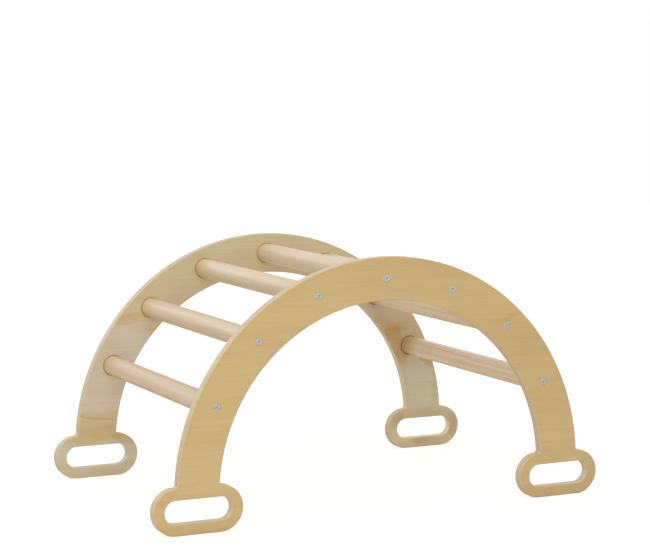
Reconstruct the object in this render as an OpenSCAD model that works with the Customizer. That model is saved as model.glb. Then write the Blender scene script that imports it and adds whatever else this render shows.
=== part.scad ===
// Wooden rocker arch: two flat plywood side panels, each an arch band that ends in two
// pill-shaped feet with a hand slot, joined by round rungs. Every rung end sits in a blind
// pocket and is clamped by a countersunk bolt that screws into a threaded insert.
// X runs along the arch, Y across it from the front panel to the back one, and Z is up.
// The origin is on the floor, under the middle of the arch.

/* [Arch] */
// Outer radius of the arch band
arch_outer_r = 396; // [350:1:500]
// Width of the arch band, from its inner to its outer edge
band_w = 77; // [60:1:90]
// Height of the arch's centre above the floor
arch_centre_h = 63; // [50:1:75]
// Width over the outer faces of both panels
overall_w = 544; // [400:2:700]

/* [Side panels] */
// Thickness of a side panel
panel_t = 18; // [15:1:24]
// Radius of the rounded edges
edge_r = 2; // [1:0.5:3]
// Radius of the inside corner between a leg and its foot
corner_r = 5; // [3:0.5:8]

/* [Feet] */
// Length of a foot
foot_l = 165; // [145:1:200]
// Height of a foot
foot_h = 82; // [78:1:100]
// Length of the hand slot
slot_l = 123; // [90:1:126]
// Height of the hand slot
slot_h = 41; // [30:1:48]

/* [Rungs] */
// Diameter of a rung
rung_d = 38; // [28:1:45]
// Number of rungs
rung_count = 7; // [5:1:8]
// Angle between neighbouring rungs, seen from the arch's centre
rung_step = 21.6; // [17:0.1:23]
// Depth of the pocket that holds a rung's end
pocket_depth = 6; // [3:0.5:9]
// Gap all round a rung's end in its pocket
pocket_gap = 0.6; // [0.2:0.1:1]
// Chamfer on a rung's ends
rung_chamfer = 1; // [0.5:0.5:2]

/* [Bolts] */
// Thread diameter of a bolt
bolt_d = 6; // [5:1:8]
// Length of a bolt, over its head
bolt_l = 30; // [25:1:45]
// Diameter of the countersunk head
head_d = 14; // [12:0.5:17]
// Height of the straight rim round the head
head_rim = 0.6; // [0.3:0.1:1]
// Depth of the head's face below the panel's face
head_sink = 0.3; // [0:0.1:1]
// Width of the hex socket across its flats
socket_w = 4; // [3:0.5:5]
// Depth of the hex socket
socket_depth = 2.6; // [1.5:0.1:3]
// Chamfer on a bolt's tip
bolt_chamfer = 0.8; // [0.4:0.1:1.2]

/* [Threaded inserts] */
// Outer diameter of an insert, over its wood thread
insert_d = 10; // [9.5:0.5:14]
// Length of an insert
insert_l = 15; // [10:1:18]
// Depth of the wood thread on an insert
ridge_depth = 0.8; // [0.3:0.1:1]
// Spacing of the wood thread's turns
ridge_pitch = 2.5; // [2:0.5:3]

/* [Clearances] */
// Gap round a bolt's shank in the panel
shank_gap = 0.4; // [0.2:0.1:1]
// Gap round a bolt's head in its countersink
head_gap = 0.05; // [0.05:0.05:0.3]
// Gap round a bolt's thread in its insert
thread_gap = 0.05; // [0.05:0.05:0.2]
// Gap round an insert in its bore
insert_gap = 0.05; // [0.05:0.05:0.2]
// Free depth past a bolt's tip
tip_room = 2; // [1:0.5:5]

/* [Hidden] */
$fn = 96;
cut_over = 1;   // how far a cutter runs past a face

// A corner fill's faces cross the panel's own at an angle, and lie in none of them.
corner_step = 0.02;             // how far a fill lies below the panel's faces
corner_bite = 0.04 * corner_r;  // how far its round runs into the leg and the foot
corner_trim = 6;                // degrees left off each end of its round

arch_inner_r = arch_outer_r - band_w;
arch_mid_r = arch_outer_r - band_w / 2;
arch_centre = [0, arch_centre_h];
foot_mid_h = foot_h / 2;

rung_l = overall_w - 2 * (panel_t - pocket_depth);
pocket_d = rung_d + 2 * pocket_gap;
web_t = panel_t - pocket_depth;                     // wood left under a pocket
bolt_reach = head_sink + bolt_l - web_t;            // how far a bolt enters its rung
tip_bore_depth = max(insert_l, bolt_reach) + tip_room;
shank_hole_d = bolt_d + 2 * shank_gap;
thread_hole_d = bolt_d + 2 * thread_gap;
insert_bore_d = insert_d + 2 * insert_gap;

// ---- where the rungs are ----

// Rung 1 is the lowest at the -X end, and the middle one is at the top of the arch.
function rung_angle(i) = 90 + ((rung_count + 1) / 2 - i) * rung_step;

// A rung's centre in the panel's plane: along X, and above the floor.
function rung_spot(i) = arch_centre + arch_mid_r * [cos(rung_angle(i)), sin(rung_angle(i))];

// Turns the panel's plane upright: its second axis becomes +Z and its third becomes -Y.
module upright() rotate([90, 0, 0]) children();

// Puts what is drawn for the front panel at the back panel as well.
module at_both_ends() {
    children();
    mirror([0, 1, 0]) children();
}

// ---- outlines of the panel's section, with its thickness along the second axis ----

// Wood of thickness t that starts at x = 0 with a rounded edge and runs to x = w.
module edge_profile(w, t = panel_t) {
    translate([edge_r, -t / 2]) square([w - edge_r, t]);
    translate([0, edge_r - t / 2]) square([w, t - 2 * edge_r]);
    for (side = [-1, 1])
        translate([edge_r, side * (t / 2 - edge_r)]) circle(edge_r);
}

// A bar of width w with both edges rounded, centred.
module bar_profile(w) {
    for (flip = [0, 1])
        mirror([flip, 0]) translate([-w / 2, 0]) edge_profile(w / 2);
}

// The space inside an opening whose wall is at x = w, flared by the rounded edges.
module opening_profile(w) {
    difference() {
        translate([0, -panel_t / 2 - cut_over]) square([w + edge_r, panel_t + 2 * cut_over]);
        translate([w, 0]) edge_profile(edge_r + cut_over);
    }
}

// ---- shapes in the panel's plane ----

// A pill, l long and h high: two half rounds of the first child's section,
// and a straight of the second child's between them.
module pill(l, h) {
    half_straight = (l - h) / 2;
    for (turn = [0, 180])
        rotate(turn) translate([half_straight, 0])
            rotate(-90) rotate_extrude(angle = 180) children(0);
    translate([-half_straight, 0]) rotate([90, 0, 90])
        linear_extrude(2 * half_straight) children(1);
}

// The solid foot.
module foot() {
    pill(foot_l, foot_h) {
        translate([foot_mid_h, 0]) mirror([1, 0]) edge_profile(foot_mid_h);
        bar_profile(foot_h);
    }
}

// The hand slot's cutter.
module hand_slot() {
    pill(slot_l, slot_h) {
        opening_profile(slot_h / 2);
        for (flip = [0, 1]) mirror([flip, 0]) opening_profile(slot_h / 2);
    }
}

// The arch band, with short straight legs that run down into the feet.
module arch_band() {
    translate(arch_centre) rotate_extrude(angle = 180)
        translate([arch_mid_r, 0]) bar_profile(band_w);
    for (side = [-1, 1])
        translate([side * arch_mid_r, foot_mid_h]) rotate([-90, 0, 0])
            linear_extrude(arch_centre_h - foot_mid_h) bar_profile(band_w);
}

// The upper crossing of two circles, the second of them to the right of the first.
function crossing(c1, r1, c2, r2) =
    let (v = c2 - c1, d = norm(v), along = (r1 * r1 - r2 * r2 + d * d) / (2 * d),
         up = sqrt(r1 * r1 - along * along))
    c1 + along * v / d + up * [-v[1], v[0]] / d;

// The centre of the round that fills the corner between a leg's face and the foot:
// reach is its distance from the arch's centre, and end_x is where the foot's end round
// is centred. It meets the foot's flat top, or its end round if it lies beyond that.
function corner_centre(reach, end_x, outer) =
    let (rise = corner_r - corner_bite, above = foot_h + rise - arch_centre_h,
         flat_x = sqrt(reach * reach - above * above))
    (outer ? flat_x <= end_x : flat_x >= end_x)
        ? [flat_x, foot_h + rise]
        : crossing(arch_centre, reach, [end_x, foot_mid_h], foot_mid_h + rise);

// Fills one inside corner, from the direction of the leg's face to that of the foot.
module corner_fill(outer) {
    half_straight = (foot_l - foot_h) / 2;
    end_x = arch_mid_r + (outer ? half_straight : -half_straight);
    rise = corner_r - corner_bite;
    reach = outer ? arch_outer_r + rise : arch_inner_r - rise;
    centre = corner_centre(reach, end_x, outer);
    past_end = outer ? centre[0] > end_x : centre[0] < end_x;
    to_leg = outer ? arch_centre - centre : centre - arch_centre;
    to_foot = past_end ? [end_x, foot_mid_h] - centre : [0, -1];
    leg_angle = atan2(to_leg[1], to_leg[0]) + (outer ? 360 : 0);
    foot_angle = atan2(to_foot[1], to_foot[0]) + (outer ? 360 : 0);
    first = min(leg_angle, foot_angle) + corner_trim;
    sweep = abs(leg_angle - foot_angle) - 2 * corner_trim;
    translate(centre) rotate(first) rotate_extrude(angle = sweep) translate([corner_r, 0])
        edge_profile(corner_r + 2 * edge_r, panel_t - 2 * corner_step);
}

// A whole panel, with its inner face towards -Z in its own plane.
module side_panel() {
    difference() {
        union() {
            arch_band();
            for (flip = [0, 1]) mirror([flip, 0, 0]) {
                translate([arch_mid_r, foot_mid_h]) foot();
                corner_fill(outer = true);
                corner_fill(outer = false);
            }
        }
        for (side = [-1, 1])
            translate([side * arch_mid_r, foot_mid_h]) hand_slot();
        for (i = [1 : rung_count]) translate(rung_spot(i)) rung_seat();
    }
}

// What is cut for one rung: its pocket, the bolt's hole and the head's countersink.
module rung_seat() {
    head_r = head_d / 2 + head_gap;
    cone_h = head_r - shank_hole_d / 2;
    translate([0, 0, -panel_t / 2 - cut_over]) cylinder(d = pocket_d, h = pocket_depth + cut_over);
    translate([0, 0, -panel_t / 2]) cylinder(d = shank_hole_d, h = panel_t);
    translate([0, 0, panel_t / 2]) rotate([180, 0, 0]) {
        translate([0, 0, -cut_over]) cylinder(r = head_r, h = cut_over + head_sink + head_rim);
        translate([0, 0, head_sink + head_rim])
            cylinder(r1 = head_r, r2 = shank_hole_d / 2, h = cone_h);
    }
}

module front_side_panel() {
    color([0.81, 0.70, 0.49])
        translate([0, (panel_t - overall_w) / 2, 0]) upright() side_panel();
}

module back_side_panel() {
    color([0.77, 0.69, 0.55])
        mirror([0, 1, 0]) translate([0, (panel_t - overall_w) / 2, 0]) upright() side_panel();
}

// ---- rungs and what holds them ----

// Moves a shape from the origin to where rung i runs.
module at_rung(i) translate([rung_spot(i)[0], 0, rung_spot(i)[1]]) children();

// The stepped bore in a rung's end: the insert's seat, and room for the bolt's tip.
module insert_bore() {
    translate([0, 0, -insert_l]) cylinder(d = insert_bore_d, h = insert_l + cut_over);
    translate([0, 0, -tip_bore_depth]) cylinder(d = shank_hole_d, h = tip_bore_depth);
}

module rung(i) {
    color([0.86, 0.76, 0.66]) at_rung(i) difference() {
        upright() translate([0, 0, -rung_l / 2]) rotate_extrude() polygon([
            [0, 0],
            [rung_d / 2 - rung_chamfer, 0],
            [rung_d / 2, rung_chamfer],
            [rung_d / 2, rung_l - rung_chamfer],
            [rung_d / 2 - rung_chamfer, rung_l],
            [0, rung_l]
        ]);
        at_both_ends() translate([0, -rung_l / 2, 0]) upright() insert_bore();
    }
}

// A countersunk bolt with its face at the origin and its tip towards -Z.
module bolt() {
    head_h = head_rim + (head_d - bolt_d) / 2;
    difference() {
        rotate_extrude() polygon([
            [0, 0],
            [head_d / 2, 0],
            [head_d / 2, -head_rim],
            [bolt_d / 2, -head_h],
            [bolt_d / 2, bolt_chamfer - bolt_l],
            [bolt_d / 2 - bolt_chamfer, -bolt_l],
            [0, -bolt_l]
        ]);
        translate([0, 0, -socket_depth])
            cylinder(d = socket_w / cos(30), h = socket_depth + cut_over, $fn = 6);
    }
}

// A threaded insert that lies below its end face at the origin, with ridges for its
// wood thread: one ring for each turn.
module insert() {
    core_r = insert_d / 2 - ridge_depth;
    turns = floor((insert_l - ridge_depth) / ridge_pitch);
    first_turn = (insert_l - (turns - 1) * ridge_pitch) / 2;
    difference() {
        translate([0, 0, -insert_l]) rotate_extrude() polygon(concat(
            [[0, 0], [core_r, 0]],
            [for (turn = [0 : turns - 1], corner = [-1, 0, 1])
                [core_r + (corner == 0 ? ridge_depth : 0),
                 first_turn + turn * ridge_pitch + corner * ridge_depth]],
            [[core_r, insert_l], [0, insert_l]]
        ));
        translate([0, 0, -insert_l - cut_over])
            cylinder(d = thread_hole_d, h = insert_l + 2 * cut_over);
    }
}

module rung_bolts(i) {
    color([0.76, 0.79, 0.83]) at_rung(i) at_both_ends()
        translate([0, head_sink - overall_w / 2, 0]) upright() bolt();
}

module rung_inserts(i) {
    color([0.80, 0.68, 0.40]) at_rung(i) at_both_ends()
        translate([0, -rung_l / 2, 0]) upright() insert();
}

front_side_panel();
back_side_panel();
for (i = [1 : rung_count]) {
    rung(i);
    rung_bolts(i);
    rung_inserts(i);
}
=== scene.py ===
# %% [markdown]
# # A wooden rocker arch
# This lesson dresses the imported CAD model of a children's climbing arch: two plywood side
# panels, seven beech rungs between them, and the zinc-plated bolts that clamp each rung.
# The CAD model stays as it is, as a fixed frame. Every piece below is modelled over one of
# its nodes, at the same place and size, so the first step is to load it and keep its box.

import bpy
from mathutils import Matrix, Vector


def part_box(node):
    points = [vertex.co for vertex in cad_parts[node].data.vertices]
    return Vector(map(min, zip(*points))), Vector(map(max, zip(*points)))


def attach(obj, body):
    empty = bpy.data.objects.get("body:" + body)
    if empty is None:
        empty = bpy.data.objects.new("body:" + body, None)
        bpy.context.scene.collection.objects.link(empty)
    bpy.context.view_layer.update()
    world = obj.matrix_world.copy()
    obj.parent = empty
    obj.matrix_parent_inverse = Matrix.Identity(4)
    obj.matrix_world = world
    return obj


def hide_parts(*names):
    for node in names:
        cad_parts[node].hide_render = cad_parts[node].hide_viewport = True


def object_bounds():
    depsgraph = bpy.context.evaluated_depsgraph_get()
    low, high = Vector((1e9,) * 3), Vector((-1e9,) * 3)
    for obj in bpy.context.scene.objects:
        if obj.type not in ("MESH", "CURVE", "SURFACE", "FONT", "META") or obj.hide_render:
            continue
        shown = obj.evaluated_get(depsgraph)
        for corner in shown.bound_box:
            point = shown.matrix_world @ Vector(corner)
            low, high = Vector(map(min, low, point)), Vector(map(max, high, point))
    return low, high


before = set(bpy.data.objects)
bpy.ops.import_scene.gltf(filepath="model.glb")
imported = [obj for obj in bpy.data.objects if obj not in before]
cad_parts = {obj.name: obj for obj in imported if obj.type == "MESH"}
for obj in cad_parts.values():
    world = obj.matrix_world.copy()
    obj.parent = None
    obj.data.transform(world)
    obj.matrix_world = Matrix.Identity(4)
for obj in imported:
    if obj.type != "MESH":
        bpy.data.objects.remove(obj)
cad_low, cad_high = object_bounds()
print("CAD box, in metres:", cad_low[:], cad_high[:])

# %% [markdown]
# ## Sizes
# A model is easier to change when each size is written once. What the frame can tell is
# read from it: where each rung is, and where the panels' faces lie. The rest are the real
# sizes of the panel's outline and the rungs, in millimetres. Blender counts in metres,
# hence `MM`.

# %% Sizes of the real object
import math
from collections import namedtuple

import bmesh
import bpy
from mathutils import Matrix, Vector

MM = 0.001

panel_low, panel_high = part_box("front_side_panel")
outer_y = panel_low.y
inner_y = panel_high.y
panel_t = inner_y - outer_y

arch_outer_r = 396 * MM
band_w = 77 * MM
arch_centre = Vector((0, 0, panel_high.z - arch_outer_r))
arch_inner_r = arch_outer_r - band_w
arch_mid_r = arch_outer_r - band_w / 2

foot_h = 82 * MM
foot_l = 2 * (panel_high.x - arch_mid_r)
slot_l = 123 * MM
slot_h = 41 * MM
edge_r = 2 * MM
corner_r = 5 * MM

rung_count = sum(name[:5] == "rung_" and name[5:].isdigit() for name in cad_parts)
rung_r = 19 * MM
rung_low, rung_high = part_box("rung_1")
rung_l = rung_high.y - rung_low.y
rung_spots = []
for number in range(1, rung_count + 1):
    low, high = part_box(f"rung_{number}")
    rung_spots.append((low + high) / 2)
print(f"{rung_count} rungs, {2 * rung_r / MM:.0f} mm thick and {rung_l / MM:.0f} mm long")

# %% [markdown]
# ## Camera
# The photograph was taken from the left of the arch's middle and a little above it, with
# a long lens. Blender's camera looks along its own -Z, so it is tipped up by a quarter
# turn less the pitch, and then turned about Z by the yaw. The focal length is known in
# pixels of the photograph, and the sensor's width turns it into millimetres.

# %% Camera
PHOTO_W = 650
FOCAL_PX = 1993.3
SENSOR_MM = 36
QUARTER_TURN = math.radians(90)
camera_at = Vector((-1.5906, -3.3616, 0.7972))
camera_yaw = math.radians(25.445)
camera_pitch = math.radians(6.101)

camera_data = bpy.data.cameras.new("camera")
camera_data.sensor_width = SENSOR_MM
camera_data.lens = FOCAL_PX / PHOTO_W * SENSOR_MM
camera = bpy.data.objects.new("camera", camera_data)
camera.location = camera_at
camera.rotation_euler = (QUARTER_TURN - camera_pitch, 0, -camera_yaw)
bpy.context.scene.collection.objects.link(camera)
bpy.context.scene.camera = camera
print(f"lens {camera_data.lens:.1f} mm")

# %% [markdown]
# ## Colours and nodes
# Every material here is a small graph of nodes. Three helpers keep the graphs short. One
# turns a colour as it looks on a screen, written as sRGB hex, into the linear values that
# Blender computes with. One adds a node with its settings and links: an input may be a
# plain value, another node's socket, or another node, which stands for its output. The
# stops of a colour ramp are given as (position, hex colour) pairs. The last one starts an
# empty material.

# %% Helpers for materials
def srgb(code):
    """An sRGB hex colour as linear red, green, blue and alpha."""
    parts = [int(code[i : i + 2], 16) / 255 for i in (1, 3, 5)]
    linear = [c / 12.92 if c <= 0.04045 else ((c + 0.055) / 1.055) ** 2.4 for c in parts]
    return (*linear, 1.0)


def add_node(tree, kind, settings=None, inputs=None, stops=()):
    """Adds a node, sets its settings, and links or sets its inputs."""
    made = tree.nodes.new(kind)
    for name, value in (settings or {}).items():
        setattr(made, name, value)
    for key, value in (inputs or {}).items():
        if isinstance(value, bpy.types.Node):
            value = next(socket for socket in value.outputs if socket.enabled)
        if isinstance(value, bpy.types.NodeSocket):
            tree.links.new(value, made.inputs[key])
        else:
            made.inputs[key].default_value = value
    for _ in stops[2:]:
        made.color_ramp.elements.new(1.0)
    for place, (position, code) in enumerate(stops):
        made.color_ramp.elements[place].position = position
        made.color_ramp.elements[place].color = srgb(code)
    return made


def new_material(name):
    """An empty node material, and its node tree."""
    material = bpy.data.materials.new(name)
    material.use_nodes = True
    material.node_tree.nodes.clear()
    return material, material.node_tree


print("linear value of mid grey:", [round(c, 3) for c in srgb("#808080")])

# %% [markdown]
# ## Backdrop
# The object stands in a white studio. The world lights it evenly from all round, at a
# strength a little under 1, so that a colour renders about as it is written. To the camera,
# and in reflections, the world is plain white: the Light Path node tells which kind of ray
# asks, and the strength follows its answer.

# %% World
WORLD_LIGHT = 0.80

world = bpy.data.worlds.new("studio")
bpy.context.scene.world = world
world.use_nodes = True
sky = world.node_tree
sky.nodes.clear()
ray = add_node(sky, "ShaderNodeLightPath")
shown = add_node(
    sky,
    "ShaderNodeMath",
    {"operation": "MAXIMUM"},
    {0: ray.outputs["Is Camera Ray"], 1: ray.outputs["Is Glossy Ray"]},
)
shown = add_node(
    sky,
    "ShaderNodeMath",
    {"operation": "MAXIMUM"},
    {0: shown, 1: ray.outputs["Is Transmission Ray"]},
)
level = add_node(sky, "ShaderNodeMapRange", None, {"Value": shown, "To Min": WORLD_LIGHT, "To Max": 1.0})
studio_white = add_node(sky, "ShaderNodeBackground", None, {"Color": srgb("#FFFFFF"), "Strength": level})
add_node(sky, "ShaderNodeOutputWorld", None, {"Surface": studio_white})
print("world light:", WORLD_LIGHT)

# %% [markdown]
# ## Floor
# The floor is cream paper, and the warm light that it throws back is what tints the
# undersides of the rungs. For the camera a part of its colour is a glow of plain white, so
# that it joins the backdrop, and the rest is real paper, which keeps the soft shadow under
# the feet. The glow is a little stronger than 1, because near the object only a share of it
# is seen. Further out it takes over, and no horizon line is left.

# %% Floor material
SHADOW_SHARE = 0.34
SHADOW_REACH = (0.8, 1.6)
FLOOR_GLOW = 1.20

floor_material, tree = new_material("cream_paper_sweep")
ray = add_node(tree, "ShaderNodeLightPath")
at = add_node(tree, "ShaderNodeTexCoord").outputs["Object"]
far_off = add_node(tree, "ShaderNodeVectorMath", {"operation": "LENGTH"}, {0: at})
share = add_node(
    tree,
    "ShaderNodeMapRange",
    None,
    {
        "Value": far_off,
        "From Min": SHADOW_REACH[0],
        "From Max": SHADOW_REACH[1],
        "To Min": 1 - SHADOW_SHARE,
        "To Max": 1.0,
    },
)
share = add_node(
    tree,
    "ShaderNodeMath",
    {"operation": "MULTIPLY"},
    {0: share, 1: ray.outputs["Is Camera Ray"]},
)
paper = add_node(tree, "ShaderNodeBsdfDiffuse", None, {"Color": srgb("#EEE7D8")})
glow = add_node(tree, "ShaderNodeEmission", None, {"Color": srgb("#FFFFFF"), "Strength": FLOOR_GLOW})
surface = add_node(tree, "ShaderNodeMixShader", None, {0: share, 1: paper, 2: glow})
add_node(tree, "ShaderNodeOutputMaterial", None, {"Surface": surface})
print("the floor's glow takes over past", SHADOW_REACH[1], "m")

# %% [markdown]
# ## The sheet of the floor
# The floor itself is one big square. It is staged, which means that it belongs to the studio
# and not to the object, so it shows in the render and stays out of the finished model.

# %% Floor
FLOOR_SIZE = 12

bm = bmesh.new()
bmesh.ops.create_grid(bm, x_segments=1, y_segments=1, size=FLOOR_SIZE / 2)
floor_mesh = bpy.data.meshes.new("floor")
bm.to_mesh(floor_mesh)
bm.free()
floor = bpy.data.objects.new("floor", floor_mesh)
floor.data.materials.append(floor_material)
bpy.context.scene.collection.objects.link(floor)
print("floor:", FLOOR_SIZE, "m square")

# %% [markdown]
# ## Softboxes
# Three large, weak lamps give the wood its shape: one above and to the left makes the tops
# of the rungs the brightest, and one beside the camera lifts the faces that it sees. The
# rungs point away from the camera, so only light from behind them can glance off along
# their length, and the third lamp stands there to draw that sheen. Large lamps make soft
# shadows. The Standard view transform shows colours without a film look.

# %% Softboxes
def add_softbox(name, at, size, watts):
    """A square area lamp that points at the middle of the object."""
    lamp = bpy.data.lights.new(name, "AREA")
    lamp.size = size
    lamp.energy = watts
    holder = bpy.data.objects.new(name, lamp)
    holder.location = at
    aim = (cad_low + cad_high) / 2 - Vector(at)
    holder.rotation_euler = aim.to_track_quat("-Z", "Y").to_euler()
    bpy.context.scene.collection.objects.link(holder)


add_softbox("softbox_above", (-1.0, -0.6, 2.7), 2.2, 21)
add_softbox("softbox_front", (-2.4, -3.4, 1.6), 2.0, 20.4)
add_softbox("softbox_behind", (-1.4, 3.7, 1.5), 1.2, 8)
bpy.context.scene.view_settings.view_transform = "Standard"
print("view transform:", bpy.context.scene.view_settings.view_transform)

# %% [markdown]
# ## Drawing with a pen
# A router cuts the panels along lines and arcs, and the mesh is drawn the same way. The
# pen is one vertex: extruding it draws a line, and spinning it about a centre draws an
# arc. The vertex that the last step made is where the pen is next.

# %% Pen
WELD = 1e-6
ARC_STEP = math.radians(1.5)
ROUND_STEP = math.radians(5)


def start_point(bm, at):
    """Puts the pen down at a spot."""
    made = bmesh.ops.create_vert(bm, co=at)
    return made["vert"][0]


def draw_line(bm, pen, to):
    """Draws an edge from the pen to a spot."""
    made = bmesh.ops.extrude_vert_indiv(bm, verts=[pen])
    made["verts"][0].co = to
    return made["verts"][0]


def draw_arc(bm, pen, centre, turn, step=ROUND_STEP):
    """Draws an arc from the pen about a centre: anticlockwise from the front if positive."""
    steps = max(3, math.ceil(abs(turn) / step))
    made = bmesh.ops.spin(bm, geom=[pen], cent=centre, axis=(0, -1, 0), angle=turn, steps=steps)
    return next(g for g in made["geom_last"] if isinstance(g, bmesh.types.BMVert))


def verts_of(parts):
    """The vertices of some edges or faces, each once, sorted by where they are."""
    return sorted(dict.fromkeys(v for part in parts for v in part.verts), key=lambda v: v.co[:])


def drawn_by(bm, draw):
    """Runs a drawing, welds where its ends meet, and gives the edges that it added."""
    before = set(bm.edges)
    draw()
    added = [e for e in bm.edges if e not in before]
    bmesh.ops.remove_doubles(bm, verts=verts_of(added), dist=WELD)
    return [e for e in bm.edges if e not in before]


print("an arc has an edge every", round(math.degrees(ARC_STEP), 1), "degrees")

# %% [markdown]
# ## Turning on a lathe
# A lathe is the same spin, given a whole profile and a full turn. `use_merge` welds the
# last step to the first, and points on the axis are welded into poles afterwards. A second
# helper gives the points of a rounded edge, which every routed or turned rim here needs.

# %% Lathe
EDGE_STEPS = 5


def turn_profile(bm, profile, axis_at, steps):
    """Turns a (radius, y) profile about the line along Y through a spot, and gives the new faces."""

    def draw():
        pen = start_point(bm, (axis_at.x + profile[0][0], profile[0][1], axis_at.z))
        for radius, y in profile[1:]:
            pen = draw_line(bm, pen, (axis_at.x + radius, y, axis_at.z))

    old_faces = set(bm.faces)
    edges = drawn_by(bm, draw)
    bmesh.ops.spin(
        bm,
        geom=verts_of(edges) + edges,
        cent=axis_at,
        axis=(0, 1, 0),
        angle=math.tau,
        steps=steps,
        use_merge=True,
    )
    turned = [f for f in bm.faces if f not in old_faces]
    bmesh.ops.remove_doubles(bm, verts=verts_of(turned), dist=WELD)
    return [f for f in bm.faces if f not in old_faces]


def rounded_edge(radius, steps):
    """Points of a rounded edge: how far each lies in from the side and down from the face."""
    points = []
    for k in range(steps + 1):
        angle = QUARTER_TURN * k / steps
        points.append((radius * (1 - math.sin(angle)), radius * (1 - math.cos(angle))))
    return points


for inset, depth in rounded_edge(edge_r, EDGE_STEPS):
    print(f"rounded edge: {inset / MM:.2f} mm in from the side, {depth / MM:.2f} mm down")

# %% [markdown]
# ## Finishing a piece
# Every piece ends the same way. Its normals are recalculated, because a spin or a mirror
# can leave them inside out. Its vertices and faces are sorted, because a weld leaves them in
# another order at every run. Its edges are counted, because a closed solid has two faces at
# every edge. Faces are shaded smooth, but edges past an angle stay sharp. Then the piece
# rides on the object's one body and stands in for its CAD node.

# %% Helper that finishes a piece
SHARP_ANGLE = math.radians(32)


def put_in_order(parts, key):
    """Sorts the vertices or the faces of a bmesh by a key."""
    for place, part in enumerate(sorted(parts, key=key)):
        part.index = place
    parts.sort()


def finish_piece(name, bm, materials, node):
    """Turns a bmesh into a finished piece that stands for one CAD node."""
    bmesh.ops.recalc_face_normals(bm, faces=bm.faces)
    put_in_order(bm.verts, lambda v: v.co[:])
    put_in_order(bm.faces, lambda f: f.calc_center_median()[:])
    open_edges = sum(not e.is_manifold for e in bm.edges)
    mesh = bpy.data.meshes.new(name)
    bm.to_mesh(mesh)
    bm.free()
    mesh.shade_smooth()
    mesh.set_sharp_from_angle(angle=SHARP_ANGLE)
    for material in materials:
        mesh.materials.append(material)
    piece = bpy.data.objects.new(name, mesh)
    bpy.context.scene.collection.objects.link(piece)
    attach(piece, "root")
    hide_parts(node)
    print(f"{name}: {len(mesh.polygons)} faces, {open_edges} open edges")


print("edges past", round(math.degrees(SHARP_ANGLE)), "degrees stay sharp")

# %% [markdown]
# ## The panel's outline
# Each panel is one router-cut sheet: an arch band that ends in two pill-shaped feet, with
# a small round where leg and foot meet. Two arcs that touch share the line through their
# centres, so the centre of that small round lies where a circle about the arch's centre
# crosses a circle about the foot's end. Those two spots are worked out here.

# %% Centres of the outline's arcs
foot_r = foot_h / 2
half_foot = (foot_l - foot_h) / 2
toe = Vector((arch_mid_r + half_foot, 0, foot_r))
heel = Vector((arch_mid_r - half_foot, 0, foot_r))


def crossing(centre_a, reach_a, centre_b, reach_b):
    """The upper spot at a reach from each of two centres, the second on the right of the first."""
    between = centre_b - centre_a
    along = (reach_a**2 - reach_b**2 + between.length_squared) / (2 * between.length)
    up = math.sqrt(reach_a**2 - along**2)
    side = between.normalized()
    return centre_a + side * along + Vector((-side.z, 0, side.x)) * up


outer_corner = crossing(arch_centre, arch_outer_r + corner_r, toe, foot_r + corner_r)
inner_corner = crossing(arch_centre, arch_inner_r - corner_r, heel, foot_r + corner_r)
print("inside corners are centred at", outer_corner[:], inner_corner[:])

# %% [markdown]
# ## Headings and turns
# An arc is drawn by turning from one heading to the next. A heading is the direction from
# one spot to another in the panel's plane, as an angle from +X, and seen from the front a
# turn to the left is anticlockwise and positive.

# %% Headings and turns
UP = QUARTER_TURN


def heading(start, end):
    """The direction from one spot to another in the panel's plane, as an angle."""
    return math.atan2(end.z - start.z, end.x - start.x)


def left_turn(start, end):
    """How far to turn anticlockwise from one heading to another."""
    return (end - start) % math.tau


def right_turn(start, end):
    """How far to turn clockwise from one heading to another."""
    return -((start - end) % math.tau)


print("a left turn from down to up:", round(math.degrees(left_turn(-UP, UP))), "degrees")

# %% [markdown]
# ## Drawing the outline
# The pen starts at the top of the arch and goes round the right half, and a mirror makes
# the left one. All of it is tangent arcs, so the outline can be drawn a little smaller
# with no new shape: each arc keeps its centre and only its radius changes by the inset.
# That gives the rounded edges, one loop for each step.

# %% Outline
def draw_outline(bm, y, inset):
    """The panel's closed outline at y: the right half, then its mirror image."""
    before = set(bm.edges)
    outer_end = heading(arch_centre, outer_corner)
    inner_end = heading(arch_centre, inner_corner)
    pen = start_point(bm, (0, y, arch_centre.z + arch_outer_r - inset))
    pen = draw_arc(bm, pen, arch_centre, right_turn(UP, outer_end), ARC_STEP)
    turn = left_turn(outer_end + math.pi, heading(outer_corner, toe))
    pen = draw_arc(bm, pen, outer_corner, turn)
    pen = draw_arc(bm, pen, toe, right_turn(heading(toe, outer_corner), -UP))
    pen = draw_line(bm, pen, (heel.x, y, inset))
    pen = draw_arc(bm, pen, heel, right_turn(-UP, heading(heel, inner_corner)))
    turn = left_turn(heading(inner_corner, heel), inner_end)
    pen = draw_arc(bm, pen, inner_corner, turn)
    draw_arc(bm, pen, arch_centre, left_turn(inner_end, UP), ARC_STEP)
    half = [e for e in bm.edges if e not in before]
    half += verts_of(half)
    bmesh.ops.mirror(bm, geom=half, matrix=Matrix.Identity(4), merge_dist=WELD, axis="X")


print(f"the outline spans {2 * panel_high.x / MM:.0f} mm and is {panel_high.z / MM:.0f} mm high")

# %% [markdown]
# ## Drawing a hand slot
# A hand slot is a pill: two half turns, joined by two straight lines. It is a hole, so the
# inset works the other way round and makes it larger.

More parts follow.
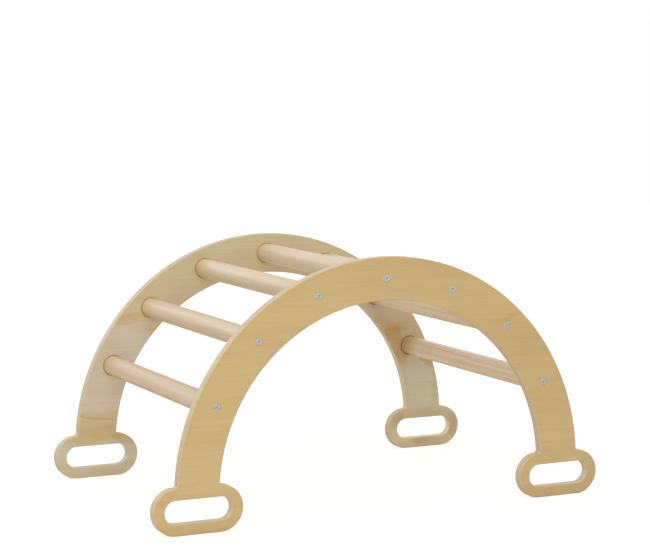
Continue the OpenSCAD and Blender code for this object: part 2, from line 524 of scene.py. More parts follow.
# %% Hand slots
def draw_slot(bm, y, inset, side):
    """One foot's hand slot at y, opened up by the inset."""
    half_straight = (slot_l - slot_h) / 2
    radius = slot_h / 2 + inset
    right = side * arch_mid_r + half_straight
    left = side * arch_mid_r - half_straight
    pen = start_point(bm, (right, y, foot_r + radius))
    pen = draw_arc(bm, pen, (right, y, foot_r), -math.pi)
    pen = draw_line(bm, pen, (left, y, foot_r - radius))
    pen = draw_arc(bm, pen, (left, y, foot_r), -math.pi)
    draw_line(bm, pen, (right, y, foot_r + radius))


print(f"feet {foot_l / MM:.0f} mm long with slots of {slot_l / MM:.0f} by {slot_h / MM:.0f} mm")

# %% [markdown]
# ## Seats for the rungs
# Each rung end sits in a blind pocket, 6 mm deep and a hair wider than the rung, and a
# bolt passes through the web behind it from a countersink in the outer face. One profile
# holds all of it, from the inner face through to the outer one, and a lathe turn makes
# the seat. The pocket's mouth has the fine chamfer that breaks the sharp edge.

# %% Profile of a seat
pocket_gap = 0.6 * MM
pocket_r = rung_r + pocket_gap
pocket_depth = rung_l / 2 + inner_y
shank_hole_r = 3.4 * MM
head_hole_r = 7.05 * MM
head_sink = 0.3 * MM
head_rim = 0.6 * MM
mouth = 0.6 * MM
hole_rim = 0.2 * MM

seat_profile = [
    (pocket_r + mouth, inner_y),
    (pocket_r, inner_y - mouth),
    (pocket_r, inner_y - pocket_depth),
    (shank_hole_r, inner_y - pocket_depth),
    (shank_hole_r, outer_y + head_sink + head_rim + head_hole_r - shank_hole_r),
    (head_hole_r, outer_y + head_sink + head_rim),
    (head_hole_r, outer_y + hole_rim),
    (head_hole_r + hole_rim, outer_y),
]
print(f"pocket {2 * pocket_r / MM:.1f} mm across and {pocket_depth / MM:.1f} mm deep")

# %% [markdown]
# ## Walls
# The walls of the outline and of the hand slots are made alike. A loop is drawn at every
# step of the two rounded edges, and each loop is bridged with the next, from face to face.

# %% Walls
def panel_sections():
    """(inset, y) of each loop round the panel's edge, from the outer face to the inner one."""
    near = rounded_edge(edge_r, EDGE_STEPS)
    far = [(inset, panel_t - depth) for inset, depth in reversed(near)]
    return [(inset, outer_y + depth) for inset, depth in near + far]


def add_wall(bm, draw):
    """Draws a loop at every section and bridges each with the next."""
    loops = []
    for inset, y in panel_sections():
        loops.append(drawn_by(bm, lambda: draw(bm, y, inset)))
    for first, second in zip(loops, loops[1:]):
        bmesh.ops.bridge_loops(bm, edges=first + second)


print("a wall has", len(panel_sections()), "loops")

# %% [markdown]
# ## Faces
# The walls leave open rims at both faces, and one fill of triangles closes each face round
# its holes. A thin flat ring lies between each rounded edge and the fill, so that smooth
# shading stays within the ring and the big face reads as truly flat.

# %% Faces
SUPPORT = 0.5 * MM


def rim_at(bm, y):
    """The open edges at y."""
    return [e for e in bm.edges if e.is_boundary and all(abs(v.co.y - y) < WELD for v in e.verts)]


def fill_face(bm, y):
    """Fills the flat face at y, round its holes."""
    made = bmesh.ops.triangle_fill(bm, use_beauty=True, edges=rim_at(bm, y), normal=(0, 1, 0))
    face = [g for g in made["geom"] if isinstance(g, bmesh.types.BMFace)]
    bmesh.ops.inset_region(bm, faces=face, thickness=SUPPORT, use_boundary=True, use_even_offset=True)


print(f"a flat ring of {SUPPORT / MM} mm lies round each face")

# %% [markdown]
# ## Building the panel
# With those helpers the panel is put together: the outline's wall, the walls of the two
# hand slots, the seven turned seats, and the two faces. The walls of the pockets get the
# second material slot. The back panel is the front one in a mirror.

# %% Mesh of a panel
SEAT_STEPS = 64

front_bm = bmesh.new()
add_wall(front_bm, draw_outline)
for side in (-1, 1):
    add_wall(front_bm, lambda bm, y, inset: draw_slot(bm, y, inset, side))
for spot in rung_spots:
    for face in turn_profile(front_bm, seat_profile, Vector((spot.x, 0, spot.z)), SEAT_STEPS):
        in_pocket = face.calc_center_median().y > inner_y - pocket_depth + WELD
        face.material_index = 1 if in_pocket else 0
fill_face(front_bm, outer_y)
fill_face(front_bm, inner_y)
back_bm = front_bm.copy()
bmesh.ops.scale(back_bm, vec=(1, -1, 1), verts=back_bm.verts)
print("panel mesh:", len(front_bm.verts), "vertices")

# %% [markdown]
# ## Grain
# All the wood here is drawn with one idea: noise that is long along the grain and narrow
# across it. A Mapping node squeezes the coordinates, so that one unit of noise becomes one
# streak of the size given in millimetres, and the shift picks another part of the noise.
# Another helper adds several such patterns up, each with its own share.

# %% Helpers for wood
def squeeze(tree, at, size_mm, shift):
    """Coordinates in which a box of size_mm, along X, Y and Z, is one unit each way."""
    return add_node(
        tree,
        "ShaderNodeMapping",
        None,
        {
            "Vector": at,
            "Location": (shift, 0.37 * shift, -0.61 * shift),
            "Scale": [1 / (length * MM) for length in size_mm],
        },
    )


def streaks(tree, at, size_mm, shift, detail=2.0, distortion=0.0):
    """Noise in streaks: size_mm is how long a streak is along X, Y and Z."""
    return add_node(
        tree,
        "ShaderNodeTexNoise",
        None,
        {
            "Vector": squeeze(tree, at, size_mm, shift),
            "Scale": 1.0,
            "Detail": detail,
            "Distortion": distortion,
        },
    )


def add_up(tree, shares):
    """Adds up (pattern, share) pairs."""
    total = 0.0
    for pattern, share in shares:
        total = add_node(
            tree,
            "ShaderNodeMath",
            {"operation": "MULTIPLY_ADD"},
            {0: pattern, 1: share, 2: total},
        )
    return total


print("1 mm wide streaks are squeezed by", 1 / MM)

# %% [markdown]
# ## Figure in the veneer, and painted light and shade
# A face veneer isn't one colour. It is peeled from a log in a wide sheet, so the knife cuts
# in and out of the growth rings and leaves broad patches of yellower and greyer wood, with
# dark lines where they meet. Each patch is placed as an ellipse in the panel's
# plane, in millimetres. Its border is soft, and wanders, because the coordinates that it
# reads are first bent by noise.
# A few of the patches below are painted light and shade instead of figure.

# %% Patches of figure, and of painted light and shade
Patch = namedtuple("Patch", "x z half_x half_z turn colour strength softness")
ANY_DEPTH = 10.0
BEND_LENGTHS = (70, 70, 25)
BEND_REACH = (30 * MM, 0, 22 * MM)


def bend(tree, at, shift):
    """The coordinates, moved about by a few millimetres."""
    noise = streaks(tree, at, BEND_LENGTHS, shift, 3.0)
    centred = add_node(
        tree,
        "ShaderNodeVectorMath",
        {"operation": "SUBTRACT"},
        {0: noise.outputs["Color"], 1: (0.5, 0.5, 0.5)},
    )
    return add_node(
        tree,
        "ShaderNodeVectorMath",
        {"operation": "MULTIPLY_ADD"},
        {0: centred, 1: BEND_REACH, 2: at},
    )


def lay_patches(tree, colour, bent, patches):
    """Lays patches of other tones over a colour, one after the other."""
    for patch in patches:
        local = add_node(
            tree,
            "ShaderNodeMapping",
            {"vector_type": "TEXTURE"},
            {
                "Vector": bent,
                "Location": (patch.x * MM, 0, patch.z * MM),
                "Rotation": (0, -math.radians(patch.turn), 0),
                "Scale": (patch.half_x * MM, ANY_DEPTH, patch.half_z * MM),
            },
        )
        reach = add_node(tree, "ShaderNodeVectorMath", {"operation": "LENGTH"}, {0: local})
        cover = add_node(
            tree,
            "ShaderNodeMapRange",
            {"interpolation_type": "SMOOTHSTEP"},
            {
                "Value": reach,
                "From Min": 1 - patch.softness,
                "From Max": 1 + patch.softness,
                "To Min": patch.strength,
                "To Max": 0.0,
            },
        )
        colour = add_node(
            tree,
            "ShaderNodeMix",
            {"data_type": "RGBA"},
            {0: cover, 6: colour, 7: srgb(patch.colour)},
        )
    return colour


print("a patch has", Patch._fields)

# %% [markdown]
# ## Where the patches lie
# The outer faces are the show side: an even golden veneer, a little browner from the right
# shoulder of the arch down, and darker along the bottoms of the feet as painted shade. The
# inner face of the back panel is a greyer sheet. It is yellower from the second rung up and
# just above the left foot, has an amber streak beside the seventh rung, and a golden foot on
# the right leg. Round the first five seats it is paler, and so is the back panel's edge inside
# the right leg. Painted light lies on the routed walls of the hand slots, in place of the shade
# inside them, and near the inner rim between the first two rungs, in place of their shade. The
# photograph hides the other two faces, so they get the same figure turned over, as two sheets
# from one log would have.

# %% Where the patches lie
OUTER_FIGURE_AND_SHADE = (
    Patch(40, 430, 130, 40, 0, "#C7AA75", 0.40, 0.60),
    Patch(115, 440, 60, 20, -18, "#CDAA78", 0.30, 0.25),
    Patch(262, 288, 78, 46, -20, "#C5A976", 0.50, 0.30),
    Patch(256, 340, 22, 6, 22, "#C4984F", 0.40, 0.60),
    Patch(330, 205, 60, 45, 10, "#C9AE7B", 0.45, 0.40),
    Patch(-335, 186, 60, 7, 0, "#DCC594", 0.24, 0.60),
    Patch(-352, 118, 60, 50, 0, "#D4BD8B", 0.45, 0.50),
    Patch(-266, 302, 36, 24, -42, "#DCC594", 0.18, 0.50),
    # painted shade along the bottom of the left foot
    Patch(-362, 6, 95, 18, 0, "#C3A978", 0.32, 0.50),
    Patch(343, 161, 50, 9, 0, "#B59A62", 0.18, 0.60),
    Patch(357, 84, 70, 20, 0, "#B59A66", 0.20, 0.50),
    # painted shade along the bottom of the right foot
    Patch(358, 6, 90, 20, 0, "#BB9F6D", 0.32, 0.50),
    Patch(428, 48, 24, 34, 0, "#BCA06F", 0.45, 0.50),
)
INNER_FIGURE_AND_LIGHT = (
    Patch(-65, 1255, 1000, 1000, 0, "#CBBB94", 0.85, 0.010),
    Patch(-88, 438, 55, 12, 12, "#CFC6A8", 0.50, 0.50),
    Patch(-148, 424, 30, 9, 22, "#B7A478", 0.35, 0.50),
    Patch(95, 434, 70, 20, -14, "#CBB68C", 0.50, 0.50),
    Patch(-252, 353, 24, 9, 30, "#C9A570", 0.30, 0.60),
    Patch(-294, 301, 30, 10, 10, "#C3A062", 0.45, 0.60),
    Patch(-295, 235, 60, 56, 0, "#CBC0AB", 0.80, 0.05),
    # painted light near the inner rim between the first two rungs, in place of the shade that they cast
    Patch(-276, 250, 22, 46, 40, "#E2D8BE", 0.35, 0.60),
    Patch(-356, 206, 20, 18, 0, "#CAC8B5", 0.35, 0.50),
    Patch(-365, 165, 70, 24, 0, "#D1C2AE", 0.60, 0.50),
    Patch(-350, 99, 130, 30, 0, "#C9B486", 0.85, 0.20),
    Patch(-360, 114, 38, 2, -13, "#B0905A", 0.55, 0.70),
    Patch(-362, 90, 42, 7, 0, "#B09A6C", 0.30, 0.60),
    Patch(-352, 78, 42, 8, 0, "#C9A873", 0.35, 0.60),
    Patch(-303, 71, 28, 10, -20, "#C0985A", 0.50, 0.50),
    Patch(-362, 16, 95, 30, 0, "#CBB88E", 0.50, 0.40),
    Patch(318, 268, 90, 50, 0, "#C2AC7A", 0.65, 0.35),
    Patch(294, 222, 19, 54, 22, "#C3A064", 0.70, 0.20),
    Patch(293, 253, 24, 12, 10, "#B58C45", 0.50, 0.60),
    Patch(328, 262, 17, 10, 0, "#C8A87E", 0.40, 0.50),
    Patch(380, 196, 38, 28, -10, "#BC9556", 0.80, 0.08),
    Patch(372, 168, 14, 10, 0, "#AF9669", 0.35, 0.50),
    Patch(352, 132, 70, 44, 0, "#D2C6AA", 0.50, 0.40),
    Patch(365, 30, 100, 56, 0, "#C8B286", 0.70, 0.25),
    Patch(356, 14, 24, 6, 0, "#C0905E", 0.50, 0.40),
    Patch(300, 68, 20, 10, 35, "#C29859", 0.40, 0.50),
    Patch(428, 40, 13, 22, -10, "#B9924E", 0.40, 0.50),
    Patch(400, 8, 45, 14, 0, "#DCCBA2", 0.30, 0.50),
    Patch(296, 16, 40, 30, 0, "#E2D4B0", 0.45, 0.50),
    Patch(262, 300, 14, 36, 38, "#D8C8A4", 0.40, 0.60),
    Patch(317, 130, 3, 40, 3, "#C4A778", 0.30, 0.90),
    Patch(384, 146, 7, 52, -4, "#BFA578", 0.50, 0.80),
)
PALE_SEATS = 5
SEAT_FIGURE = [
    Patch(spot.x / MM, spot.z / MM, 36, 36, 0, "#E6D5AC", 0.28, 0.70)
    for spot in rung_spots[:PALE_SEATS]
]
FRONT_SLOT_PAINTED_LIGHT = (
    # both patches are painted light on the walls of the hand slots, in place of the shade inside them
    Patch(-357, 41, 72, 31, 0, "#CFC5B3", 0.80, 0.10),
    Patch(357, 41, 72, 31, 0, "#D4CBB7", 0.80, 0.10),
)
BACK_EDGE_TONE_AND_SLOT_LIGHT = (
    # the first two patches are painted light on the walls of the hand slots, in place of the shade
    # inside them
    Patch(-357, 41, 72, 31, 0, "#CEC5B8", 0.80, 0.10),
    Patch(357, 41, 72, 31, 0, "#E8DCC3", 0.80, 0.10),
    Patch(300, 160, 30, 120, 14, "#D6CCB4", 0.60, 0.40),
)


def turned_over(figure):
    """The same patches, as they lie on a sheet that is turned over left to right."""
    return [patch._replace(x=-patch.x, turn=-patch.turn) for patch in figure]


print(len(OUTER_FIGURE_AND_SHADE), "patches outside,", len(INNER_FIGURE_AND_LIGHT), "inside")

# %% [markdown]
# ## Veneered plywood
# The panels are 18 mm birch plywood, sanded and clear-lacquered. Plywood is a stack of
# veneers, so the material is solid: it reads how deep a spot lies in the sheet. Within one
# skin it is the golden face, within the other the greyer back, and every cut edge shows
# the plies between, pale, with end grain in every second one. Two helpers give the tone of
# a face and that of the cut edge, before any patch is laid on them.

# %% Tones of the plywood
PLY_COUNT = 9
GROWTH_BANDS = 11.0


def face_tone(tree, at, shift, stops):
    """The colour of a face veneer before its figure: broad clouds and growth bands."""
    clouds = streaks(tree, at, (260, 300, 90), shift, 2.0, 0.4)
    growth = streaks(tree, at, (620, 300, 170), shift + 2, 1.0, 0.1)
    growth = add_node(tree, "ShaderNodeMath", {"operation": "MULTIPLY"}, {0: growth, 1: GROWTH_BANDS})
    growth = add_node(tree, "ShaderNodeMath", {"operation": "FRACT"}, {0: growth})
    tone = add_up(tree, [(clouds, 0.92), (growth, 0.08)])
    return add_node(tree, "ShaderNodeValToRGB", None, {"Fac": tone}, stops)


def ply_tone(tree, at, depth, shift):
    """The colour of the cut edge: long grain and end grain by turns."""
    layer = add_node(tree, "ShaderNodeMath", {"operation": "MULTIPLY"}, {0: depth, 1: PLY_COUNT})
    layer = add_node(tree, "ShaderNodeMath", {"operation": "FLOOR"}, {0: layer})
    end_grain = add_node(tree, "ShaderNodeMath", {"operation": "PINGPONG"}, {0: layer, 1: 1.0})
    pores = streaks(tree, at, (12, 1.5, 12), shift, 2.0)
    tone = add_up(tree, [(end_grain, 0.35), (pores, 0.30)])
    stops = [(0.10, "#CDC0AA"), (0.35, "#C5B59B"), (0.65, "#B8A280")]
    return add_node(tree, "ShaderNodeValToRGB", None, {"Fac": tone}, stops)


print(f"{PLY_COUNT} plies of {panel_t / PLY_COUNT / MM:.1f} mm")

# %% [markdown]
# ## The layers together
# The material lays the patches over those tones, and then picks the golden face, the greyer
# one or the cut edge by the depth. The grain is multiplied over all of them. The lacquer is
# a thin coat that leaves a soft sheen. The finest fibres are drawn 2 mm wide, coarser than
# the real ones, because the render couldn't show them otherwise.

# %% Plywood material
SKIN = 0.6 * MM


def make_plywood(name, shift, outer_figure_and_shade, inner_figure_and_light, edge_tone_and_light):
    """Plywood with a golden veneer outside and a greyer one inside.

    Each figure is a list of patches: on the outer face, on the inner one and on the cut edge. A few of
    them are painted light and shade.
    """
    material, tree = new_material(name)
    at = add_node(tree, "ShaderNodeTexCoord").outputs["Object"]
    bent = bend(tree, at, shift + 3)
    axes = add_node(tree, "ShaderNodeSeparateXYZ", None, {0: at})
    from_middle = add_node(tree, "ShaderNodeMath", {"operation": "ABSOLUTE"}, {0: axes.outputs["Y"]})
    depth = add_node(
        tree,
        "ShaderNodeMapRange",
        {"clamp": False},
        {"Value": from_middle, "From Min": -inner_y, "From Max": -outer_y},
    )
    outer_stops = [(0.28, "#CAAF79"), (0.72, "#D1B985")]
    outer = lay_patches(tree, face_tone(tree, at, shift, outer_stops), bent, outer_figure_and_shade)
    inner_stops = [(0.30, "#C7BBA5"), (0.70, "#D0C5B2")]
    inner = lay_patches(tree, face_tone(tree, at, shift + 5, inner_stops), bent, inner_figure_and_light)
    inner = lay_patches(tree, inner, at, SEAT_FIGURE)
    edge = lay_patches(tree, ply_tone(tree, at, depth, shift), at, edge_tone_and_light)

    skin = SKIN / panel_t
    in_outer = add_node(tree, "ShaderNodeMath", {"operation": "GREATER_THAN"}, {0: depth, 1: 1 - skin})
    in_inner = add_node(tree, "ShaderNodeMath", {"operation": "LESS_THAN"}, {0: depth, 1: skin})
    colour = add_node(tree, "ShaderNodeMix", {"data_type": "RGBA"}, {0: in_outer, 6: edge, 7: outer})
    colour = add_node(tree, "ShaderNodeMix", {"data_type": "RGBA"}, {0: in_inner, 6: colour, 7: inner})

    fibres = streaks(tree, at, (70, 20, 2.0), shift, 6.0)
    bands = streaks(tree, at, (240, 60, 9), shift + 4, 3.0, 0.3)
    grain = add_up(tree, [(fibres, 0.6), (bands, 0.4)])
    grain_stops = [(0.32, "#F7F2EA"), (0.62, "#FFFFFF")]
    grain = add_node(tree, "ShaderNodeValToRGB", None, {"Fac": grain}, grain_stops)
    colour = add_node(
        tree,
        "ShaderNodeMix",
        {"data_type": "RGBA", "blend_type": "MULTIPLY"},
        {0: 1.0, 6: colour, 7: grain},
    )
    relief = add_node(
        tree,
        "ShaderNodeBump",
        None,
        {"Height": fibres, "Strength": 0.2, "Distance": 0.2 * MM},
    )
    shader = add_node(
        tree,
        "ShaderNodeBsdfPrincipled",
        None,
        {
            "Base Color": colour,
            "Roughness": 0.5,
            "Normal": relief,
            "Coat Weight": 0.15,
            "Coat Roughness": 0.35,
        },
    )
    add_node(tree, "ShaderNodeOutputMaterial", None, {"Surface": shader})
    print(f"{name}: {len(tree.nodes)} nodes")
    return material


front_plywood = make_plywood(
    "lacquered_birch_plywood_front", 1.0, OUTER_FIGURE_AND_SHADE, turned_over(INNER_FIGURE_AND_LIGHT), FRONT_SLOT_PAINTED_LIGHT
)
back_plywood = make_plywood(
    "lacquered_birch_plywood_back", 7.3, turned_over(OUTER_FIGURE_AND_SHADE), INNER_FIGURE_AND_LIGHT, BACK_EDGE_TONE_AND_SLOT_LIGHT
)

# %% [markdown]
# ## Pocket walls in painted shade
# A thin dark ring shows round every rung, where the narrow gap between rung and pocket lies
# in shade, and the pocket's wall is painted dark as painted shade to deepen it. It is its own
# material on the second slot: birch, dull and uneven. Most rings are painted only tan, and
# towards the right leg the painted shade gets nearly black.

# %% Pocket material, and the two panels
SHADE_TO_RIGHT = 0.7
UNEVEN_SHADE = 0.3


def make_pocket_wall_shade():
    """Birch painted dark as shade for the pocket gaps, darker towards the right leg."""
    material, tree = new_material("birch_pocket_wall_painted_shade")
    at = add_node(tree, "ShaderNodeTexCoord").outputs["Object"]
    axes = add_node(tree, "ShaderNodeSeparateXYZ", None, {0: at})
    shade_noise = streaks(tree, at, (14, 3, 14), 2.0)
    along = axes.outputs["X"]
    # painted shade, darker towards the right leg and uneven
    shade_amount = add_up(tree, [(along, SHADE_TO_RIGHT / arch_mid_r), (shade_noise, UNEVEN_SHADE)])
    stops = [(0.30, "#D6AE76"), (0.80, "#4A3014")]
    colour = add_node(tree, "ShaderNodeValToRGB", None, {"Fac": shade_amount}, stops)
    shader = add_node(tree, "ShaderNodeBsdfPrincipled", None, {"Base Color": colour, "Roughness": 0.8})
    add_node(tree, "ShaderNodeOutputMaterial", None, {"Surface": shader})
    return material


# the pocket walls carry painted shade for the gap round each rung
pocket_wall_shade = make_pocket_wall_shade()
finish_piece("front_panel", front_bm, [front_plywood, pocket_wall_shade], "front_side_panel")
finish_piece("back_panel", back_bm, [back_plywood, pocket_wall_shade], "back_side_panel")

# %% [markdown]
# ## Rungs
# A rung is a beech rod, turned to 38 mm and sanded. Its ends are bored for the insert and
# the bolt's tip, and their rims are rounded so that they slide into the pockets. The whole
# rod, bores included, is one profile turned about its axis.

# %% Meshes of the rungs
RUNG_STEPS = 72
RIM_STEPS = 4
insert_bore_r = 5.05 * MM
insert_l = 15 * MM
insert_mouth = 0.4 * MM
tip_bore_depth = 20.3 * MM
rung_rim = 1 * MM


def rung_profile():
    """(radius, y) points of a rung, from the bottom of one bore to that of the other."""
    half = [
        (0, tip_bore_depth),
        (shank_hole_r, tip_bore_depth),
        (shank_hole_r, insert_l),
        (insert_bore_r, insert_l),
        (insert_bore_r, insert_mouth),
        (insert_bore_r + insert_mouth, 0),
    ]
    half += [(rung_r - inset, depth) for inset, depth in rounded_edge(rung_rim, RIM_STEPS)]
    half.append((rung_r, rung_rim + SUPPORT))
    near = [(radius, depth - rung_l / 2) for radius, depth in half]
    return near + [(radius, -y) for radius, y in reversed(near)]


rung_meshes = []
for spot in rung_spots:
    bm = bmesh.new()
    turn_profile(bm, rung_profile(), Vector((spot.x, 0, spot.z)), RUNG_STEPS)
    rung_meshes.append(bm)
print("rung mesh:", len(rung_meshes[0].verts), "vertices")

# %% [markdown]
# ## Flecks and painted bounce
# Beech shows short brown flecks, half a millimetre wide, where the lathe cuts the wood's
# rays. A Voronoi texture scatters one spot in each of its cells, and the cells are drawn out
# along the rod. Towards the back panel every rod is painted more golden, as painted warm
# bounce light and shade from the panel. Each helper lays one of the two over a colour.

# %% Helpers for beech
FLECK_CELL = (1.3, 6, 1.3)
FLECK_CORE = 0.16
FLECK_RIM = 0.30
FLECK_SHARE = 0.40
# The painted golden bounce light and shade is full this far before the back panel.
PAINTED_BOUNCE_FULL = 8 * MM


def add_flecks(tree, at, colour):
    """Scatters short brown flecks over a colour."""
    cells = add_node(
        tree,
        "ShaderNodeTexVoronoi",
        None,
        {"Vector": squeeze(tree, at, FLECK_CELL, 0.0), "Scale": 1.0},
    )
    fleck = add_node(
        tree,
        "ShaderNodeMapRange",
        None,
        {
            "Value": cells,
            "From Min": FLECK_CORE,
            "From Max": FLECK_RIM,
            "To Min": FLECK_SHARE,
            "To Max": 0.0,
        },
    )
    return add_node(
        tree,
        "ShaderNodeMix",
        {"data_type": "RGBA"},
        {0: fleck, 6: colour, 7: srgb("#A9855F")},
    )


def add_painted_bounce(tree, along, colour, bounce_code, share, reach):
    """Lays painted golden bounce light and shade over a colour, from a reach before the back panel on.
    """
    painted_bounce = add_node(
        tree,
        "ShaderNodeMapRange",
        {"interpolation_type": "SMOOTHSTEP"},
        {
            "Value": along,
            "From Min": -inner_y - reach,
            "From Max": -inner_y - PAINTED_BOUNCE_FULL,
            "To Max": share,
        },
    )
    return add_node(
        tree,
        "ShaderNodeMix",
        {"data_type": "RGBA"},
        {0: painted_bounce, 6: colour, 7: srgb(bounce_code)},
    )


print("the blush is full", PAINTED_BOUNCE_FULL / MM, "mm before the back panel")

# %% [markdown]
# ## Turned beech
# Sanded beech is smooth and pinkish, with long soft stripes where the lathe cuts across the
# growth rings. The pattern is solid and drawn out along the rod, so each rung is cut from
# another part of it and no two are alike. Its finest fibres are drawn 1.6 mm wide, coarser
# than the real ones, so that they show. The last two rungs come from a plank with stronger
# brown stripes, and their painted golden bounce and shade reaches further. The rods at the
# left end are painted slightly darker than the top ones, as painted shade.

# %% Beech material
def make_beech(name, stripe_share, shade_lean, stops, bounce_code, bounce_share, bounce_reach):
    """Turned and sanded beech: a share of it is growth stripes, and its back end gets painted golden
    bounce light and shade.

    The shade_lean is how much lighter the wood is painted with every metre along X: painted shade on the
    rods at the left.
    """
    material, tree = new_material(name)
    at = add_node(tree, "ShaderNodeTexCoord").outputs["Object"]
    axes = add_node(tree, "ShaderNodeSeparateXYZ", None, {0: at})
    fibres = streaks(tree, at, (1.6, 60, 1.6), 1.0, 6.0)
    soft = streaks(tree, at, (9, 420, 9), 3.0)
    stripes = streaks(tree, at, (4, 700, 5), 6.0, 1.0)
    tone = add_up(
        tree,
        [
            (fibres, 0.25),
            (soft, 0.75 - stripe_share),
            (stripes, stripe_share),
            # painted shade: the rods at the left are painted darker
            (axes.outputs["X"], shade_lean),
        ],
    )
    colour = add_node(tree, "ShaderNodeValToRGB", None, {"Fac": tone}, stops)
    colour = add_flecks(tree, at, colour)
    # painted golden bounce light and shade towards the back panel
    colour = add_painted_bounce(tree, axes.outputs["Y"], colour, bounce_code, bounce_share, bounce_reach)
    relief = add_node(
        tree,
        "ShaderNodeBump",
        None,
        {"Height": fibres, "Strength": 0.2, "Distance": 0.2 * MM},
    )
    shader = add_node(
        tree,
        "ShaderNodeBsdfPrincipled",
        None,
        {
            "Base Color": colour,
            "Roughness": 0.48,
            "Normal": relief,
            "Coat Weight": 0.1,
            "Coat Roughness": 0.35,
        },
    )
    add_node(tree, "ShaderNodeOutputMaterial", None, {"Surface": shader})
    print(f"{name}: {len(tree.nodes)} nodes")
    return material


# The plain rods get painted shade towards the left, and all rods get painted golden bounce light and
# shade near the back panel.
plain_stops = [(0.22, "#C3AC91"), (0.40, "#CEB99F"), (0.58, "#D4C2AA")]
plain_beech = make_beech("sanded_beech", 0.10, 0.5, plain_stops, "#CEB87C", 0.50, 62 * MM)
striped_stops = [(0.32, "#BFA789"), (0.46, "#D4BEA0"), (0.60, "#DCCBB3")]
striped_beech = make_beech("striped_beech", 0.35, 0.0, striped_stops, "#BA955C", 0.80, 75 * MM)

# %% [markdown]
# ## The seven rungs
# The rods that were turned above now become pieces. Rung 1 is at the left end of the
# photograph, and the striped plank starts with rung 6.

# %% The seven rungs
STRIPED_FROM = 6

for number, bm in enumerate(rung_meshes, 1):
    beech = striped_beech if number >= STRIPED_FROM else plain_beech
    finish_piece(f"beech_rung_{number}", bm, [beech], f"rung_{number}")

# %% [markdown]
# ## The thread of a bolt
# Fourteen M6 countersunk bolts clamp the panels onto the rungs. One is modelled, and the
# others are its copies. Its thread comes first, and a thread is a spin that climbs: the V
# of one turn is spun round the axis, and every step also moves it along by its share of
# the pitch, so that each turn ends where the next one starts. The thread is wound two turns
# too long, and two cuts square off its ends.

# %% Thread
BOLT_STEPS = 36
ORIGIN = Vector((0, 0, 0))
PITCH = 1.0 * MM
thread_depth = 0.55 * MM
bolt_r = 3 * MM
bolt_l = 30 * MM
tip_chamfer = 0.8 * MM
shank_end = 9 * MM
thread_start = shank_end + PITCH / 2
thread_end = bolt_l - tip_chamfer
SPARE_TURNS = 2
TURNS = math.ceil((thread_end - thread_start) / PITCH) + SPARE_TURNS
run_in = 1.5 * PITCH


def draw_thread():
    """Draws the V of one turn, and winds it along the bolt."""
    root = bolt_r - thread_depth
    low = thread_start - run_in
    pen = start_point(bolt, (root, low, 0))
    pen = draw_line(bolt, pen, (bolt_r, low + PITCH / 2, 0))
    draw_line(bolt, pen, (root, low + PITCH, 0))
    bmesh.ops.spin(
        bolt,
        geom=bolt.verts[:] + bolt.edges[:],
        cent=ORIGIN,
        axis=(0, 1, 0),
        dvec=(0, PITCH / BOLT_STEPS, 0),
        angle=math.tau * TURNS,
        steps=BOLT_STEPS * TURNS,
    )


bolt = bmesh.new()
drawn_by(bolt, draw_thread)
for y, outward in ((thread_start, -1), (thread_end, 1)):
    bmesh.ops.bisect_plane(
        bolt,
        geom=bolt.verts[:] + bolt.edges[:] + bolt.faces[:],
        dist=WELD,
        plane_co=(0, y, 0),
        plane_no=(0, outward, 0),
        clear_outer=True,
    )
print("thread of", TURNS - SPARE_TURNS, "turns:", len(bolt.faces), "faces")

# %% [markdown]
# ## Head, shank and tip
# The rest is a lathe job: one profile runs from the bottom of the socket, over the flat
# head and down the cone, to the end of the plain shank, and a second one makes the tip.
# Bridges join both to the thread. The socket is then pressed six-sided: each point of its
# wall moves out to where the side of a hexagon lies in its direction.

# %% Head, shank and tip
SIXTH_TURN = math.radians(60)
head_r = 7 * MM
head_edge = 0.4 * MM
socket_half = 2 * MM
socket_depth = 2.6 * MM
socket_tip = 0.8 * MM
socket_mouth = 0.55 * MM

head_profile = [
    (0, socket_depth + socket_tip),
    (socket_half, socket_depth),
    (socket_half, socket_mouth),
    (socket_half + socket_mouth, 0),
]
head_profile += [(head_r - inset, depth) for inset, depth in rounded_edge(head_edge, RIM_STEPS)]
head_profile += [
    (head_r, head_rim),
    (bolt_r, head_rim + head_r - bolt_r),
    (bolt_r, shank_end),
]
tip_profile = [(bolt_r - tip_chamfer, bolt_l), (0, bolt_l)]

turn_profile(bolt, head_profile, ORIGIN, BOLT_STEPS)
turn_profile(bolt, tip_profile, ORIGIN, BOLT_STEPS)
for first, second in ((shank_end, thread_start), (thread_end, bolt_l)):
    bmesh.ops.bridge_loops(bolt, edges=rim_at(bolt, first) + rim_at(bolt, second))
for vert in bolt.verts:
    if vert.co.y < socket_depth + WELD and abs(math.hypot(vert.co.x, vert.co.z) - socket_half) < WELD:
        off_middle = math.atan2(vert.co.z, vert.co.x) % SIXTH_TURN - SIXTH_TURN / 2
        press = 1 / math.cos(off_middle)
        bmesh.ops.scale(bolt, vec=(press, 1, press), verts=[vert])
bolt_mesh = bpy.data.meshes.new("bolt")
bolt.to_mesh(bolt_mesh)
print("open edges on a bolt:", sum(not e.is_manifold for e in bolt.edges))
bolt.free()

# %% [markdown]
# ## Zinc-plated steel
# The bolts are steel with a thin clear-blue zinc plating, which the eye reads as a cool
# light grey. The plating is a crystalline skin, and its colour and roughness cloud a little.
# The crystals are drawn 2 mm wide, because the real ones are too fine to show. A metal's
# colour is its reflection, so it is set as the base colour of a fully metallic shader. The
# inserts are of another metal, so the function takes what differs between the two.

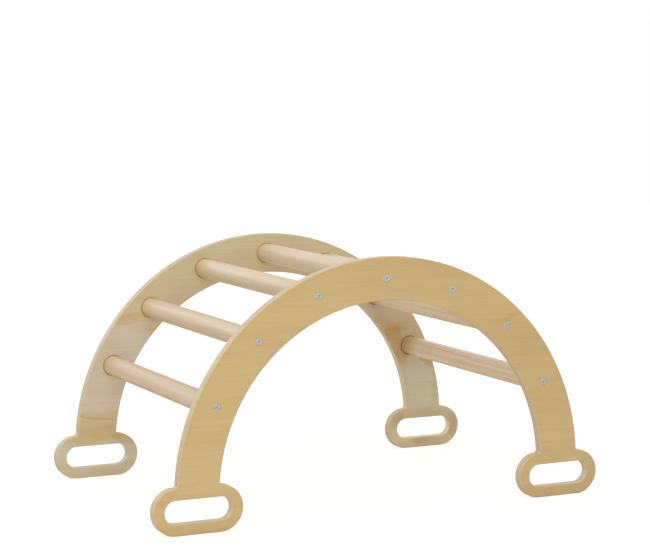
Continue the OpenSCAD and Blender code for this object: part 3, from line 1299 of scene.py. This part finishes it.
# %% Bolt material
def make_metal(name, size_mm, detail, stops, roughness):
    """A metal whose colour and roughness cloud over size_mm along X, Y and Z."""
    material, tree = new_material(name)
    at = add_node(tree, "ShaderNodeTexCoord").outputs["Object"]
    clouds = streaks(tree, at, size_mm, 1.0, detail)
    colour = add_node(tree, "ShaderNodeValToRGB", None, {"Fac": clouds}, stops)
    smooth, rough = roughness
    dull = add_node(
        tree,
        "ShaderNodeMapRange",
        None,
        {"Value": clouds, "From Min": 0.3, "From Max": 0.7, "To Min": smooth, "To Max": rough},
    )
    shader = add_node(
        tree,
        "ShaderNodeBsdfPrincipled",
        None,
        {"Base Color": colour, "Metallic": 1.0, "Roughness": dull},
    )
    add_node(tree, "ShaderNodeOutputMaterial", None, {"Surface": shader})
    return material


zinc_stops = [(0.35, "#B2B4B6"), (0.65, "#CCCDCC")]
zinc = make_metal("blue_zinc_plated_steel", (2, 2, 2), 3.0, zinc_stops, (0.28, 0.42))
print("bolts in", zinc.name)

# %% [markdown]
# ## Pairs of bolts
# Each rung has one bolt at either end, and the pair is one piece, as it is one CAD node. It
# is two copies of the bolt: one stays as it is and the other is turned round, and both move
# to their countersinks. A bolt stops where it is tight, so each socket is turned about its
# axis by another angle.

# %% A pair of bolts for each rung
KEY_TURN = math.radians(37)

for number, spot in enumerate(rung_spots, 1):
    pair = bmesh.new()
    for side in (-1, 1):
        first = len(pair.verts)
        pair.from_mesh(bolt_mesh)
        pair.verts.ensure_lookup_table()
        verts = pair.verts[first:]
        key = Matrix.Rotation(KEY_TURN * (2 * number + side), 3, "Y")
        bmesh.ops.rotate(pair, cent=ORIGIN, matrix=key, verts=verts)
        if side == 1:
            bmesh.ops.rotate(pair, cent=ORIGIN, matrix=Matrix.Rotation(math.pi, 3, "Z"), verts=verts)
        place = (spot.x, -side * (outer_y + head_sink), spot.z)
        bmesh.ops.translate(pair, vec=place, verts=verts)
    finish_piece(f"bolt_pair_{number}", pair, [zinc], f"rung_{number}_bolts")
bpy.data.meshes.remove(bolt_mesh)

# %% [markdown]
# ## Threaded inserts
# In each rung end sits a brass insert that the bolt screws into. It is hidden once the
# arch is together, and the CAD node already has its shape, so the node stays and only gets
# a better material. Turned brass is warm yellow, with fine rings from the tool, about
# 0.3 mm apart. They lie across the axis, so the streaks are short along Y and long across it.

# %% Insert material
brass_stops = [(0.3, "#B8954F"), (0.7, "#D9BC78")]
brass = make_metal("turned_brass", (20, 0.3, 20), 2.0, brass_stops, (0.25, 0.40))
for number in range(1, rung_count + 1):
    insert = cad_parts[f"rung_{number}_inserts"]
    insert.data.materials.clear()
    insert.data.materials.append(brass)
print("inserts in", brass.name)
